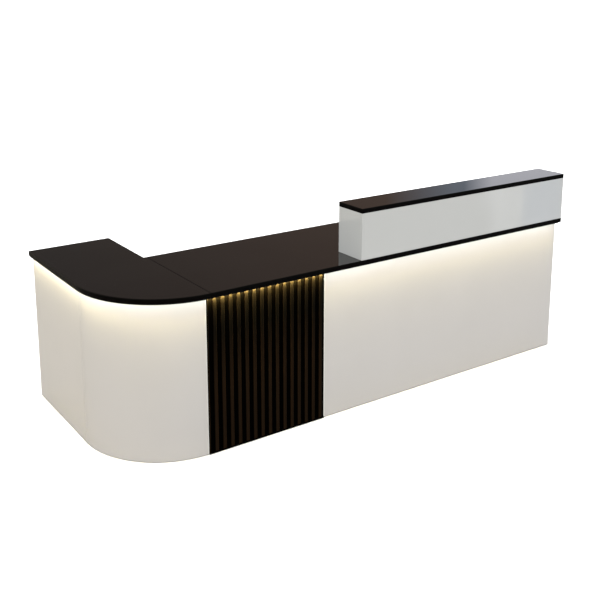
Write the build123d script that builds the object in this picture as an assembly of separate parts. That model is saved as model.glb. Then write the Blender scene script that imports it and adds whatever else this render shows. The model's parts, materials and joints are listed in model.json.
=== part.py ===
from build123d import *
import math
import os

# L-shaped checkout counter with a rounded customer corner, a raised ledge and a lit overhang.
# Millimetres. While modelling, x runs along the counter from the wing's outer face, y runs
# from the front panels towards the staff, and z is up from the floor. export_parts() moves
# everything to the row frame, whose origin is the centre of the overall box at floor level.

# Driving dimensions
BOARD = 18.0
GLASS = 5.0
GLASS_BEVEL = 0.8
TOP_Z = 760.0
LIFT = 3.0
RUN_LENGTH = 2620.0
WING_LENGTH = 1005.0
CORNER_R = 405.0
OVER_LEFT = 20.0
OVER_FRONT = 40.0
TOP_BACK = 590.0
WING_TOP_RIGHT = 395.0
SEAM_X = 409.0
SEAM_GAP = 2.0
SLAT_END = 1026.0
SLAT_PITCH = 40.0
SLAT_WIDTH = 21.0
SLAT_PROUD = 6.0
SLAT_FIRST = 443.0
SLAT_COUNT = 15
SLAT_SOFT = 1.5
SLAT_FOOT = 8.0
EDGE_STRIP_W = 6.0
LEDGE_LEFT = 1214.0
LEDGE_BACK = 140.0
LEDGE_TOP = 1010.0
LEDGE_BAYS = 3
CARCASS_BACK = 550.0
SETBACK = 20.0
BAY_INNER = 424.0
PEDESTAL_LEFT = 1040.0
PLINTH = 80.0
FRONT_GAP = 3.0
REVEAL = 2.0
SOFT = 1.0

# Levels and faces that follow from them
UNDER_Z = TOP_Z - GLASS - BOARD
CORE_Z = TOP_Z - GLASS
LEDGE_UNDER = LEDGE_TOP - GLASS - BOARD
FRONT_IN = CARCASS_BACK + REVEAL
FRONT_OUT = FRONT_IN + BOARD
WING_FRONT = WING_TOP_RIGHT - SETBACK
RIGHT_INNER = RUN_LENGTH - BOARD
PEDESTAL_IN = PEDESTAL_LEFT + BOARD
PEDESTAL_END = PEDESTAL_IN + BAY_INNER + BOARD
CUPBOARD_IN = RIGHT_INNER - BAY_INNER
CUPBOARD_LEFT = CUPBOARD_IN - BOARD
DECK_Z = PLINTH + BOARD
WING_IN = TOP_BACK
WING_OUT = WING_LENGTH - BOARD
CORNER_INNER = CORNER_R - BOARD
FORMER_R = CORNER_INNER - 70.0

# Lighting
LED_W = 12.0
LED_H = 7.0
LED_WALL = 1.0
DIFFUSER_T = 1.0
DIFFUSER_GAP = 0.1
LED_END_RIGHT = 8.0
LED_END_WING = 5.0
LED_FRONT = -16.0
LED_LEFT = -3.0
LED_R = CORNER_R + abs(LED_LEFT)
LED_Y = LED_R + LED_FRONT
STRIP_W = 8.0
LEAD_R = 2.0
LEAD_CLEAR = 0.5
LEAD_X = SLAT_FIRST + SLAT_PITCH / 2
LEAD_Z = UNDER_Z - 4.0
DRIVER_W = 60.0
DRIVER_L = 160.0
DRIVER_H = 32.0
DRIVER_BACK = 560.0
DRIVER_SOFT = 3.0
POCKET_HALF_W = 6.5
POCKET_HALF_H = 9.5
POCKET_DEPTH = 9.0
ROCKER_X = LEAD_X - 15.5
INLET_X = LEAD_X + 13.0
INLET_HALF_W = 8.0
INLET_HALF_H = 4.5
INLET_DEPTH = 10.0
INLET_PIN_AT = 4.3
INLET_PIN_R = 1.2
INLET_PIN_LENGTH = 9.0
SWITCH_Z = UNDER_Z - 16.5
ROCKER_TILT = 8.0
ROCKER_DEPTH = 5.0
ROCKER_TIP = 6.2
ROCKER_BACK = 2.5
ROCKER_HALF_W = 6.2
ROCKER_HALF_H = 8.2
ROCKER_PIN_R = 1.5
ROCKER_PIN_HALF = 8.0
PIVOT_CLEAR = 0.05
PIN_END_CLEAR = 0.2
CLIP_WIDTH = 8.0
CLIP_ROWS_Y = (80.0, 200.0, 320.0)

# Drawers, till, tray and door
FRONT_TOP = UNDER_Z - FRONT_GAP
DRAWER_FRONTS = {"top": (574.0, FRONT_TOP), "middle": (411.0, 571.0), "bottom": (83.0, 408.0)}
DRAWER_BOXES = {"top": (596.0, 706.0), "middle": (433.0, 543.0), "bottom": (108.0, 368.0)}
DRAWER_RAIL_Z = {"top": 640.0, "middle": 477.0, "bottom": 200.0}
DRAWER_DEPTH = 480.0
SIDE_T = 12.0
BOTTOM_T = 6.0
SLIDE_ROOM = 12.7
RAIL_WALL = 1.5
RAIL_DEPTH = 10.0
RAIL_NEST = 4.2
RAIL_SLACK = 3.5
RAIL_H = 45.0
RAIL_LENGTH = 450.0
RAIL_BACK = 540.0
TILL_FRONT_Z = 640.0
TILL_BOX = (648.0, 702.0)
TILL_DEPTH = 400.0
TILL_BAYS = 4
DIVIDER_T = 4.0
DIVIDER_DROP = 10.0
TILL_RAIL_Z = 675.0
TILL_RAIL_LENGTH = 350.0
LOCK_X = (PEDESTAL_END + CUPBOARD_LEFT) / 2
LOCK_Z = 716.0
LOCK_R = 8.0
CAM_BACK = FRONT_IN - 15.0
CAM_T = 2.0
CAM_REACH = 17.0
CAM_HALF = 6.0
COLLAR_R = 10.0
COLLAR_T = 2.5
COLLAR_GAP = 0.5
KEY_T = 2.0
KEY_HALF = 4.0
KEY_DEPTH = 6.0
STRIKE_HALF = 20.0
STRIKE_CLEAR = 2.0
STRIKE_FLANGE = 18.0
TRAY_LEFT = 520.0
TRAY_RIGHT = 1020.0
TRAY_BACK = 565.0
TRAY_DEPTH = 310.0
TRAY_Z = 660.0
TRAY_T = 16.0
TRAY_RAIL_H = 27.0
TRAY_RAIL_LENGTH = 300.0
TRAY_RAIL_BACK = 550.0
HANGER_FLANGE = 18.0
HANGER_PAST = 10.0
STEEL_T = 2.0
PULL_LENGTH = 160.0
PULL_REACH = 30.0
PULL_BAR = 8.0
PULL_WIDTH = 12.0
PULL_POST_R = 5.0
PULL_POST_IN = 16.0
PULL_DROP = 60.0
PULL_SOFT = 2.0
DOOR_PULL_IN = 40.0
DOOR_PULL_DROP = 140.0
FRONT_SOFT = 1.5
HINGE_X = RUN_LENGTH - REVEAL - 5.0
HINGE_Y = FRONT_OUT - 5.0
HINGE_PIN_R = 2.0
HINGE_HOLE_R = HINGE_PIN_R + 0.05
HINGE_PIN_IN = 20.0
HINGE_PLATE_IN = 27.0
HINGE_PLATE_BACK = 4.0
GROMMET_X = 1830.0
GROMMET_Y = 190.0
GROMMET_R = 30.0
GROMMET_CLEAR = 0.2
GROMMET_LIP = 3.0
GROMMET_FLANGE_H = 2.0
GROMMET_BORE_R = GROMMET_R - 6.0
GROMMET_SEAT_R = GROMMET_R - 4.0
CAP_T = 4.5
CAP_GAP = 0.1
CAP_SOFT = 0.6
NOTCH_HALF = 8.0
NOTCH_FROM = 10.0

# Shelves, legs and steel angles
SHELF_Z = 400.0
SHELF_SLACK = 1.0
SHELF_BACK = 20.0
PIN_R = 2.5
PIN_HOLE_R = PIN_R + 0.05
PIN_IN = 8.0
PIN_ROWS_Y = (100.0, 450.0)
WING_PIN_ROWS_X = (80.0, 300.0)
LEG_FOOT_R = 25.0
LEG_FOOT_H = 6.0
LEG_STEM_R = 12.0
LEG_PLATE_R = 28.0
LEG_PLATE_H = 8.0
LEG_ROWS_Y = (70.0, 440.0)
LEG_INSET_X = 50.0
WING_LEGS_X = (62.0, 280.0)
WING_LEGS_Y = (640.0, 940.0)
CORNER_LEG_TURNS = (205.0, 245.0)
KICK_RECESS = 40.0
RAIL_WIDTH = 80.0
ANGLE_LEG = 38.0
ANGLE_SHEET = 2.0
ANGLE_WIDTH = 20.0
ANGLE_HOLE_AT = 24.0
SCREW_HOLE_R = 2.6
ANGLE_TOP_Y = 125.0
ANGLE_LEVELS = (200.0, 520.0)


def block(x, y, z):
    """A plain box between two corners, given as (low, high) pairs."""
    centre = Pos((x[0] + x[1]) / 2, (y[0] + y[1]) / 2, (z[0] + z[1]) / 2)
    return centre * Box(x[1] - x[0], y[1] - y[0], z[1] - z[0])


def board(x, y, z, soft=SOFT):
    """A box with its edges rounded, as an edge-banded or lacquered board has."""
    solid = block(x, y, z)
    return fillet(solid.edges(), soft)


def rod(point, radius, length, axis=(0, 0, 1)):
    """A round bar that starts at a point and runs along an axis."""
    return extrude(Plane(point, z_dir=axis) * Circle(radius), length)


def group(solids):
    """Separate solids that share one node."""
    return Compound(children=list(solids))


def ring_sector(centre, inner, outer, z):
    """The quarter of a ring that faces the customer corner, between two heights."""
    side = outer + 1.0
    ring = Pos(centre[0], centre[1], z[0]) * extrude(Circle(outer) - Circle(inner), z[1] - z[0])
    return ring & block((centre[0] - side, centre[0]), (centre[1] - side, centre[1]), z)


# Customer side panels


def front_panel():
    return board((SLAT_END, RUN_LENGTH), (0, BOARD), (LIFT, UNDER_Z))


def slat_backing_board():
    panel = board((CORNER_R, SLAT_END), (0, BOARD), (LIFT, UNDER_Z), SOFT / 2)
    lead_hole = rod((LEAD_X, -1, LEAD_Z), LEAD_R + LEAD_CLEAR, BOARD + 2, (0, 1, 0))
    return panel - lead_hole


def slat(left, width):
    solid = block((left, left + width), (-SLAT_PROUD, 0), (LIFT + SLAT_FOOT, UNDER_Z))
    front_edges = solid.edges().filter_by(Axis.Z).group_by(Axis.Y)[0]
    return fillet(front_edges, SLAT_SOFT)


def slat_ribs():
    """The slats and a narrow edge strip, which stand on a low base strip."""
    base = block((CORNER_R, SLAT_END), (-SLAT_PROUD, 0), (LIFT, LIFT + SLAT_FOOT))
    edge_strip = slat(CORNER_R, EDGE_STRIP_W)
    lefts = [SLAT_FIRST + n * SLAT_PITCH - SLAT_WIDTH / 2 for n in range(SLAT_COUNT)]
    return group([base, edge_strip] + [slat(left, SLAT_WIDTH) for left in lefts])


def corner_panel():
    solid = ring_sector((CORNER_R, CORNER_R), CORNER_INNER, CORNER_R, (LIFT, UNDER_Z))
    return fillet(solid.edges().filter_by(Axis.Z), SOFT)


def corner_formers():
    centre = (CORNER_R, CORNER_R)
    levels = (PLINTH, SHELF_Z, UNDER_Z - BOARD)
    return group([ring_sector(centre, FORMER_R, CORNER_INNER, (z, z + BOARD)) for z in levels])


def wing_side_panel():
    return board((0, BOARD), (CORNER_R, WING_LENGTH), (LIFT, UNDER_Z))


def wing_end_panel():
    panel = board((BOARD, WING_FRONT), (WING_OUT, WING_LENGTH), (LIFT, UNDER_Z))
    return panel - group(shelf_rods_y(WING_OUT, PIN_HOLE_R))


def wing_partition():
    panel = board((BOARD, WING_FRONT), (TOP_BACK - BOARD, TOP_BACK), (LIFT, UNDER_Z))
    return panel - group(shelf_rods_y(WING_IN, PIN_HOLE_R))


def right_end_panel():
    panel = board((RIGHT_INNER, RUN_LENGTH), (BOARD, CARCASS_BACK), (LIFT, UNDER_Z))
    return panel - group(shelf_rods_x(RIGHT_INNER, PIN_HOLE_R))


# Worktop and ledge


def corner_top(z):
    """The worktop's wing piece: a rounded customer corner and a small notch behind the seam."""
    radius = CORNER_R + OVER_LEFT
    centre = (radius - OVER_LEFT, radius - OVER_FRONT)
    right = SEAM_X - SEAM_GAP / 2
    reach = radius * math.sqrt(0.5)
    points = [
        (-OVER_LEFT, centre[1]),
        (-OVER_LEFT, WING_LENGTH),
        (WING_TOP_RIGHT, WING_LENGTH),
        (WING_TOP_RIGHT, TOP_BACK),
        (right, TOP_BACK),
        (right, -OVER_FRONT),
        (centre[0], -OVER_FRONT),
    ]
    arc = ThreePointArc(points[-1], (centre[0] - reach, centre[1] - reach), points[0])
    outline = Polyline(*points) + arc
    return extrude(Pos(0, 0, z[0]) * make_face(outline), z[1] - z[0])


def main_top(z):
    slab = block((SEAM_X + SEAM_GAP / 2, RUN_LENGTH), (-OVER_FRONT, TOP_BACK), z)
    hole = rod((GROMMET_X, GROMMET_Y, z[0] - 1), GROMMET_R + GROMMET_CLEAR, z[1] - z[0] + 2)
    return slab - hole


def polished(slab):
    """Glass with its upper edges ground to a small bevel."""
    upper = slab.faces().sort_by(Axis.Z)[-1]
    return chamfer(upper.outer_wire().edges(), GLASS_BEVEL)


def worktop_corner_board():
    return corner_top((UNDER_Z, CORE_Z))


def worktop_corner_glass():
    return polished(corner_top((CORE_Z, TOP_Z)))


def worktop_main_board():
    return main_top((UNDER_Z, CORE_Z))


def worktop_main_glass():
    return polished(main_top((CORE_Z, TOP_Z)))


def ledge_front_panel():
    return board((LEDGE_LEFT, RUN_LENGTH), (-OVER_FRONT, -OVER_FRONT + BOARD), (TOP_Z, LEDGE_UNDER))


def ledge_uprights():
    step = (RIGHT_INNER - LEDGE_LEFT) / LEDGE_BAYS
    lefts = [LEDGE_LEFT + n * step for n in range(LEDGE_BAYS + 1)]
    depth = (-OVER_FRONT + BOARD, LEDGE_BACK)
    return group([board((x, x + BOARD), depth, (TOP_Z, LEDGE_UNDER)) for x in lefts])


def ledge_slab(z):
    return block((LEDGE_LEFT, RUN_LENGTH), (-OVER_FRONT, LEDGE_BACK), z)


def ledge_top_board():
    return ledge_slab((LEDGE_UNDER, LEDGE_TOP - GLASS))


def ledge_top_glass():
    return polished(ledge_slab((LEDGE_TOP - GLASS, LEDGE_TOP)))


# Carcass


def shelf_rods_x(face, radius):
    """Two shelf pins, or the holes for them, in a board whose face looks along x."""
    z = SHELF_Z - PIN_R
    return [rod((face - PIN_IN, y, z), radius, 2 * PIN_IN, (1, 0, 0)) for y in PIN_ROWS_Y]


def shelf_rods_y(face, radius):
    """Two shelf pins, or the holes for them, in a board whose face looks along y."""
    z = SHELF_Z - PIN_R
    return [rod((x, face - PIN_IN, z), radius, 2 * PIN_IN, (0, 1, 0)) for x in WING_PIN_ROWS_X]


def cabinet_uprights():
    lefts = (PEDESTAL_LEFT, PEDESTAL_END - BOARD, CUPBOARD_LEFT)
    boards = [board((x, x + BOARD), (BOARD, CARCASS_BACK), (LIFT, UNDER_Z)) for x in lefts]
    boards[2] = boards[2] - group(shelf_rods_x(CUPBOARD_IN, PIN_HOLE_R))
    return group(boards)


def cabinet_bottoms():
    bays = (PEDESTAL_IN, CUPBOARD_IN)
    depth = (BOARD, CARCASS_BACK)
    decks = [board((x, x + BAY_INNER), depth, (PLINTH, DECK_Z)) for x in bays]
    wing = board((BOARD, WING_FRONT), (WING_IN, WING_OUT), (PLINTH, DECK_Z))
    return group(decks + [wing])


def top_rails():
    front = (BOARD, BOARD + RAIL_WIDTH)
    back = (CARCASS_BACK - RAIL_WIDTH, CARCASS_BACK)
    knee_left = PEDESTAL_LEFT - BAY_INNER
    knee_right = (PEDESTAL_END + CUPBOARD_LEFT - BAY_INNER) / 2
    places = [(PEDESTAL_IN, front), (PEDESTAL_IN, back), (CUPBOARD_IN, front), (CUPBOARD_IN, back)]
    places += [(knee_left, front), (knee_right, front)]
    height = (UNDER_Z - BOARD, UNDER_Z)
    return group([board((x, x + BAY_INNER), depth, height) for x, depth in places])


def shelves():
    height = (SHELF_Z, SHELF_Z + BOARD)
    across = (CUPBOARD_IN + SHELF_SLACK, RIGHT_INNER - SHELF_SLACK)
    cupboard = board(across, (BOARD + 2 * SHELF_SLACK, CARCASS_BACK - SHELF_BACK), height)
    along = (WING_IN + SHELF_SLACK, WING_OUT - SHELF_SLACK)
    wing = board((BOARD + 2 * SHELF_SLACK, WING_FRONT - SHELF_BACK / 2), along, height)
    return group([cupboard, wing])


def shelf_pins():
    cupboard = shelf_rods_x(CUPBOARD_IN, PIN_R) + shelf_rods_x(RIGHT_INNER, PIN_R)
    wing = shelf_rods_y(WING_IN, PIN_R) + shelf_rods_y(WING_OUT, PIN_R)
    return group(cupboard + wing)


def kick_boards():
    depth = (CARCASS_BACK - KICK_RECESS - BOARD, CARCASS_BACK - KICK_RECESS)
    height = (LIFT, PLINTH)
    boards = [board((x, x + BAY_INNER), depth, height) for x in (PEDESTAL_IN, CUPBOARD_IN)]
    wing_x = (WING_FRONT - KICK_RECESS - BOARD, WING_FRONT - KICK_RECESS)
    return group(boards + [board(wing_x, (WING_IN, WING_OUT), height)])


def levelling_leg(x, y):
    foot = rod((x, y, 0), LEG_FOOT_R, LEG_FOOT_H)
    stem = rod((x, y, 0), LEG_STEM_R, PLINTH)
    plate = rod((x, y, PLINTH - LEG_PLATE_H), LEG_PLATE_R, LEG_PLATE_H)
    return foot + stem + plate


def levelling_legs():
    places = [(x, y) for x in WING_LEGS_X for y in WING_LEGS_Y]
    for bay in (PEDESTAL_IN, CUPBOARD_IN):
        rows = (bay + LEG_INSET_X, bay + BAY_INNER - LEG_INSET_X)
        places += [(x, y) for x in rows for y in LEG_ROWS_Y]
    middle = (FORMER_R + CORNER_INNER) / 2
    for degrees in CORNER_LEG_TURNS:
        turn = math.radians(degrees)
        places.append((CORNER_R + middle * math.cos(turn), CORNER_R + middle * math.sin(turn)))
    return group([levelling_leg(x, y) for x, y in places])


def steel_angle():
    """An angle in its own frame: its corner lies along z and its legs along +x and +y."""
    leg = (0, ANGLE_LEG)
    sheet = (0, ANGLE_SHEET)
    width = (-ANGLE_WIDTH / 2, ANGLE_WIDTH / 2)
    through = 2 * ANGLE_SHEET
    legs = block(leg, sheet, width) + block(sheet, leg, width)
    hole_x = rod((-1, ANGLE_HOLE_AT, 0), SCREW_HOLE_R, through, (1, 0, 0))
    hole_y = rod((ANGLE_HOLE_AT, -1, 0), SCREW_HOLE_R, through, (0, 1, 0))
    return legs - hole_x - hole_y


def angle_brackets():
    """Angles that tie the uprights to the worktop above and to the front panel."""
    angle = steel_angle()
    turn_top = {1: Rot(-90, 0, 0), -1: Rot(0, 90, 0) * Rot(-90, 0, 0)}
    turn_front = {1: Rot(0, 0, 0), -1: Rot(0, 0, 90)}
    angles = []
    for x, side in ((PEDESTAL_LEFT, -1), (PEDESTAL_END, 1), (CUPBOARD_LEFT, -1)):
        angles.append(Pos(x, ANGLE_TOP_Y, UNDER_Z) * turn_top[side] * angle)
        angles += [Pos(x, BOARD, z) * turn_front[side] * angle for z in ANGLE_LEVELS]
    return group(angles)


# Lighting under the overhang


def led_straight(across, along, axis):
    """A length of U section, open downwards, with its strip and diffuser as three solids."""
    low = UNDER_Z - LED_H
    side = (across[1] - across[0] - STRIP_W) / 2

    def piece(inset, z):
        pair = (across[0] + inset, across[1] - inset)
        return block(along, pair, z) if axis == "x" else block(pair, along, z)

    channel = piece(0, (low, UNDER_Z)) - piece(LED_WALL, (low - 1, UNDER_Z - LED_WALL))
    strip = piece(side, (UNDER_Z - 2 * LED_WALL, UNDER_Z - LED_WALL))
    diffuser = piece(LED_WALL + DIFFUSER_GAP, (low, low + DIFFUSER_T))
    return channel, strip, diffuser


def led_corner():
    """The same section bent round the customer corner."""
    low = UNDER_Z - LED_H
    centre = (CORNER_R, LED_Y)
    outer = LED_R + LED_W
    side = (LED_W - STRIP_W) / 2
    channel = ring_sector(centre, LED_R, outer, (low, UNDER_Z))
    hollow = ring_sector(centre, LED_R + LED_WALL, outer - LED_WALL, (low, UNDER_Z - LED_WALL))
    strip_z = (UNDER_Z - 2 * LED_WALL, UNDER_Z - LED_WALL)
    strip = ring_sector(centre, LED_R + side, outer - side, strip_z)
    inset = LED_WALL + DIFFUSER_GAP
    diffuser = ring_sector(centre, LED_R + inset, outer - inset, (low, low + DIFFUSER_T))
    return channel - hollow, strip, diffuser


def lighting():
    front_y = (LED_FRONT - LED_W, LED_FRONT)
    wing_x = (LED_LEFT - LED_W, LED_LEFT)
    runs = [
        led_straight(front_y, (CORNER_R, RUN_LENGTH - LED_END_RIGHT), "x"),
        led_straight(wing_x, (LED_Y, WING_LENGTH - LED_END_WING), "y"),
        led_corner(),
    ]
    return {
        "led_profiles": group([run[0] for run in runs]),
        "led_strips": group([run[1] for run in runs]),
        "led_diffusers": group([run[2] for run in runs]),
    }


def led_driver():
    """The power unit under the worktop: a rocker pocket and a two-pin socket face the staff."""
    front = DRIVER_BACK - DRIVER_L
    half = DRIVER_W / 2
    body = block((LEAD_X - half, LEAD_X + half), (front, DRIVER_BACK), (UNDER_Z - DRIVER_H, UNDER_Z))
    body = fillet(body.edges().filter_by(Axis.Y), DRIVER_SOFT)
    pocket = block(
        (ROCKER_X - POCKET_HALF_W, ROCKER_X + POCKET_HALF_W),
        (DRIVER_BACK - POCKET_DEPTH, DRIVER_BACK + 1),
        (SWITCH_Z - POCKET_HALF_H, SWITCH_Z + POCKET_HALF_H),
    )
    socket = block(
        (INLET_X - INLET_HALF_W, INLET_X + INLET_HALF_W),
        (DRIVER_BACK - INLET_DEPTH, DRIVER_BACK + 1),
        (SWITCH_Z - INLET_HALF_H, SWITCH_Z + INLET_HALF_H),
    )
    socket = fillet(socket.edges().filter_by(Axis.Y), DRIVER_SOFT)
    body = body - pocket - socket
    for offset in (-INLET_PIN_AT, INLET_PIN_AT):
        root = (INLET_X + offset, DRIVER_BACK - INLET_DEPTH - 1, SWITCH_Z)
        body = body + rod(root, INLET_PIN_R, INLET_PIN_LENGTH, (0, 1, 0))
    reach = ROCKER_PIN_HALF + PIN_END_CLEAR
    pivot = (ROCKER_X - reach, DRIVER_BACK - ROCKER_DEPTH, SWITCH_Z)
    return body - rod(pivot, ROCKER_PIN_R + PIVOT_CLEAR, 2 * reach, (1, 0, 0))


def light_switch_rocker():
    """A shallow V-faced rocker on two short pivot pins, tilted to its on side."""
    points = [
        (-ROCKER_BACK, -ROCKER_HALF_H),
        (ROCKER_TIP, -ROCKER_HALF_H),
        (ROCKER_DEPTH, 0),
        (ROCKER_TIP, ROCKER_HALF_H),
        (-ROCKER_BACK, ROCKER_HALF_H),
    ]
    profile = Plane.YZ * make_face(Polyline(*points, close=True))
    key = extrude(profile, ROCKER_HALF_W, both=True)
    pins = rod((-ROCKER_PIN_HALF, 0, 0), ROCKER_PIN_R, 2 * ROCKER_PIN_HALF, (1, 0, 0))
    turned = Rot(ROCKER_TILT, 0, 0) * (key + pins)
    return Pos(ROCKER_X, DRIVER_BACK - ROCKER_DEPTH, SWITCH_Z) * turned


def led_lead():
    """The low-voltage lead, held straight under the worktop from the power unit to the lights."""
    return rod((LEAD_X, LED_FRONT, LEAD_Z), LEAD_R, DRIVER_BACK - DRIVER_L - LED_FRONT, (0, 1, 0))


def lead_clip(y):
    """A plastic saddle that holds the lead against the worktop's underside."""
    half = CLIP_WIDTH / 2
    across = (LEAD_X - CLIP_WIDTH, LEAD_X + CLIP_WIDTH)
    saddle = block(across, (y - half, y + half), (LEAD_Z - half, UNDER_Z))
    saddle = fillet(saddle.edges().filter_by(Axis.Y).group_by(Axis.Z)[0], DRIVER_SOFT)
    bore = rod((LEAD_X, y - CLIP_WIDTH, LEAD_Z), LEAD_R + PIVOT_CLEAR, 2 * CLIP_WIDTH, (0, 1, 0))
    return saddle - bore


def lead_clips():
    return group([lead_clip(y) for y in CLIP_ROWS_Y])


# Cable outlet behind the ledge


def grommet_sleeve():
    low = UNDER_Z + GROMMET_FLANGE_H
    centre = (GROMMET_X, GROMMET_Y)
    tube = rod((*centre, low), GROMMET_R, TOP_Z - low)
    flange = rod((*centre, TOP_Z), GROMMET_R + GROMMET_LIP, GROMMET_FLANGE_H)
    flange = fillet(flange.edges().group_by(Axis.Z)[-1], GROMMET_FLANGE_H / 2)
    bore = rod((*centre, low - 1), GROMMET_BORE_R, TOP_Z)
    seat = rod((*centre, TOP_Z - GROMMET_LIP), GROMMET_SEAT_R, TOP_Z)
    return tube + flange - bore - seat


def grommet_cap():
    """A turning cap that rests on the sleeve's lip, with a notch that lets the cables out."""
    low = TOP_Z - GROMMET_LIP + CAP_GAP
    centre = (GROMMET_X, GROMMET_Y)
    disc = rod((*centre, low), GROMMET_SEAT_R - GROMMET_CLEAR, CAP_T)
    disc = fillet(disc.edges().group_by(Axis.Z)[-1], CAP_SOFT)
    notch = block(
        (GROMMET_X - NOTCH_HALF, GROMMET_X + NOTCH_HALF),
        (GROMMET_Y + NOTCH_FROM, GROMMET_Y + GROMMET_R),
        (low - 1, TOP_Z + CAP_T),
    )
    return disc - notch


# Slides


def rail_channel(x, y, z, height, open_end):
    """A pressed channel; open_end is the x of its open side."""
    closed = x[0] if open_end == x[1] else x[1]
    side = 1 if open_end > closed else -1
    hollow = sorted((closed + side * RAIL_WALL, open_end + side))
    outside = (z - height / 2, z + height / 2)
    inside = (outside[0] + RAIL_WALL, outside[1] - RAIL_WALL)
    return block(x, y, outside) - block(hollow, (y[0] - 1, y[1] + 1), inside)


def outer_rail(face, side, y, z, height):
    """The channel on a fixed face, open towards the drawer; side is the drawer's direction."""
    mouth = face + side * RAIL_DEPTH
    return rail_channel(sorted((face, mouth)), y, z, height, mouth)


def inner_rail(face, side, y, z, height):
    """The moving channel, with its web on the drawer and its flanges inside the outer rail."""
    web = face + side * SLIDE_ROOM
    mouth = face + side * RAIL_NEST
    return rail_channel(sorted((mouth, web)), y, z, height - 2 * RAIL_SLACK, mouth)


def rail_pair(make, left, right, back, length, z, height):
    y = (back - length, back)
    return [make(left, 1, y, z, height), make(right, -1, y, z, height)]


def drawer_rails(make, name):
    right = PEDESTAL_IN + BAY_INNER
    return rail_pair(make, PEDESTAL_IN, right, RAIL_BACK, RAIL_LENGTH, DRAWER_RAIL_Z[name], RAIL_H)


def till_rails(make):
    return rail_pair(
        make, PEDESTAL_END, CUPBOARD_LEFT, RAIL_BACK, TILL_RAIL_LENGTH, TILL_RAIL_Z, RAIL_H
    )


def tray_rails(make):
    z = TRAY_Z + TRAY_T / 2
    return rail_pair(
        make, TRAY_LEFT, TRAY_RIGHT, TRAY_RAIL_BACK, TRAY_RAIL_LENGTH, z, TRAY_RAIL_H
    )


def outer_runners():
    rails = till_rails(outer_rail) + tray_rails(outer_rail)
    for name in DRAWER_FRONTS:
        rails += drawer_rails(outer_rail, name)
    return group(rails)


def tray_hangers():
    """Bent steel plates that hang the tray's outer rails from the worktop."""
    y = (TRAY_RAIL_BACK - TRAY_RAIL_LENGTH - HANGER_PAST, TRAY_RAIL_BACK + HANGER_PAST)
    brackets = []
    for face, side in ((TRAY_LEFT, -1), (TRAY_RIGHT, 1)):
        web = sorted((face, face + side * STEEL_T))
        flange = sorted((face, face + side * HANGER_FLANGE))
        upright = block(web, y, (TRAY_Z - HANGER_PAST, UNDER_Z))
        brackets.append(upright + block(flange, y, (UNDER_Z - STEEL_T, UNDER_Z)))
    return group(brackets)


# Moving pieces


def drawer_box(x, y, z):
    """Five boards: two sides, a back, an inner front and the bottom they stand on."""
    above = (z[0] + BOTTOM_T, z[1])
    across = (x[0] + SIDE_T, x[1] - SIDE_T)
    pieces = [
        block(x, y, (z[0], z[0] + BOTTOM_T)),
        block((x[0], across[0]), y, above),
        block((across[1], x[1]), y, above),
        block(across, (y[0], y[0] + SIDE_T), above),
        block(across, (y[1] - SIDE_T, y[1]), above),
    ]
    return group(pieces)


def pedestal_box(name):
    x = (PEDESTAL_IN + SLIDE_ROOM, PEDESTAL_IN + BAY_INNER - SLIDE_ROOM)
    return drawer_box(x, (FRONT_IN - DRAWER_DEPTH, FRONT_IN), DRAWER_BOXES[name])


def pedestal_front(name):
    x = (PEDESTAL_LEFT + REVEAL, PEDESTAL_END - REVEAL)
    return board(x, (FRONT_IN, FRONT_OUT), DRAWER_FRONTS[name], FRONT_SOFT)


def pull(x, z, upright):
    """A bar pull: two round posts and a flat bar, lying along x or standing along z."""
    post_at = PULL_LENGTH / 2 - PULL_POST_IN
    back = FRONT_OUT + PULL_REACH
    bar_y = (back - PULL_BAR, back)
    length = (-PULL_LENGTH / 2, PULL_LENGTH / 2)
    thin = (-PULL_WIDTH / 2, PULL_WIDTH / 2)
    spread = (thin, length) if upright else (length, thin)
    bar_x = (x + spread[0][0], x + spread[0][1])
    bar_z = (z + spread[1][0], z + spread[1][1])
    pieces = [board(bar_x, bar_y, bar_z, PULL_SOFT)]
    for offset in (-post_at, post_at):
        start = (x, FRONT_OUT, z + offset) if upright else (x + offset, FRONT_OUT, z)
        pieces.append(rod(start, PULL_POST_R, bar_y[0] - FRONT_OUT, (0, 1, 0)))
    return group(pieces)


def pedestal_pull(name):
    middle = (PEDESTAL_LEFT + PEDESTAL_END) / 2
    return pull(middle, DRAWER_FRONTS[name][1] - PULL_DROP, False)


def till_box():
    x = (PEDESTAL_END + SLIDE_ROOM, CUPBOARD_LEFT - SLIDE_ROOM)
    return drawer_box(x, (FRONT_IN - TILL_DEPTH, FRONT_IN), TILL_BOX)


def till_front():
    x = (PEDESTAL_END + REVEAL, CUPBOARD_LEFT - REVEAL)
    panel = board(x, (FRONT_IN, FRONT_OUT), (TILL_FRONT_Z, FRONT_TOP), FRONT_SOFT)
    hole = rod((LOCK_X, FRONT_IN - 1, LOCK_Z), LOCK_R + PIVOT_CLEAR, BOARD + 2, (0, 1, 0))
    return panel - hole


def till_dividers():
    """Three thin plates that part the till into four bays."""
    x = (PEDESTAL_END + SLIDE_ROOM + SIDE_T, CUPBOARD_LEFT - SLIDE_ROOM - SIDE_T)
    step = (x[1] - x[0]) / TILL_BAYS
    half = DIVIDER_T / 2
    y = (FRONT_IN - TILL_DEPTH + SIDE_T, FRONT_IN - SIDE_T)
    z = (TILL_BOX[0] + BOTTOM_T, TILL_BOX[1] - DIVIDER_DROP)
    middles = [x[0] + n * step for n in range(1, TILL_BAYS)]
    return group([block((middle - half, middle + half), y, z) for middle in middles])


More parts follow.
